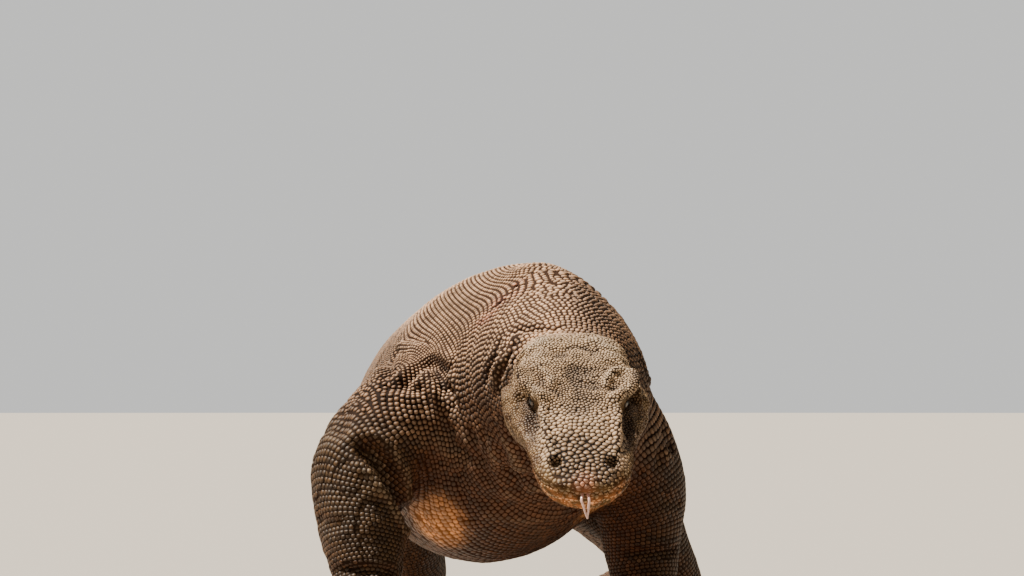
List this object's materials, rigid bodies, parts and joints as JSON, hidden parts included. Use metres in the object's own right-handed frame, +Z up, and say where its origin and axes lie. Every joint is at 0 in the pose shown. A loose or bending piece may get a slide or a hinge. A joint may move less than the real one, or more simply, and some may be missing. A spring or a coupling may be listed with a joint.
{
  "type": "komodo dragon",
  "caption": "Life-size still model of a walking komodo dragon, head lowered and forked tongue out, feet and tail end resting on the floor",
  "frame": {"origin": "under the middle of the animal's bounding box, at the level of the soles", "axes": "+Y along the body towards the tail tip, the head faces -Y; +X to the animal's left; +Z up"},
  "size_m": [0.5792, 2.4456, 0.4391],
  "materials": {
    "hide": "beaded scales, tan crowns over dark brown skin, dull",
    "claw": "dark horn, satin",
    "eye": "dark brown eyeball, wet gloss",
    "tongue": "pale pink flesh, moist"
  },
  "bodies": {
    "root": {"belly": "hide", "chest": "hide", "claw_fore_left_1": "claw", "claw_fore_left_2": "claw", "claw_fore_left_3": "claw", "claw_fore_left_4": "claw", "claw_fore_left_5": "claw", "claw_fore_right_1": "claw", "claw_fore_right_2": "claw", "claw_fore_right_3": "claw", "claw_fore_right_4": "claw", "claw_fore_right_5": "claw", "claw_hind_left_1": "claw", "claw_hind_left_2": "claw", "claw_hind_left_3": "claw", "claw_hind_left_4": "claw", "claw_hind_left_5": "claw", "claw_hind_right_1": "claw", "claw_hind_right_2": "claw", "claw_hind_right_3": "claw", "claw_hind_right_4": "claw", "claw_hind_right_5": "claw", "eye_left": "eye", "eye_right": "eye", "foot_left": "hide", "foot_right": "hide", "forearm_left": "hide", "forearm_right": "hide", "hand_left": "hide", "hand_right": "hide", "head": "hide", "lower_jaw": "hide", "neck": "hide", "pelvis": "hide", "shin_left": "hide", "shin_right": "hide", "tail_end": "hide", "tail_middle": "hide", "tail_root": "hide", "tail_tip": "hide", "thigh_left": "hide", "thigh_right": "hide", "tongue": "tongue", "upper_arm_left": "hide", "upper_arm_right": "hide"}
  },
  "joints": []
}
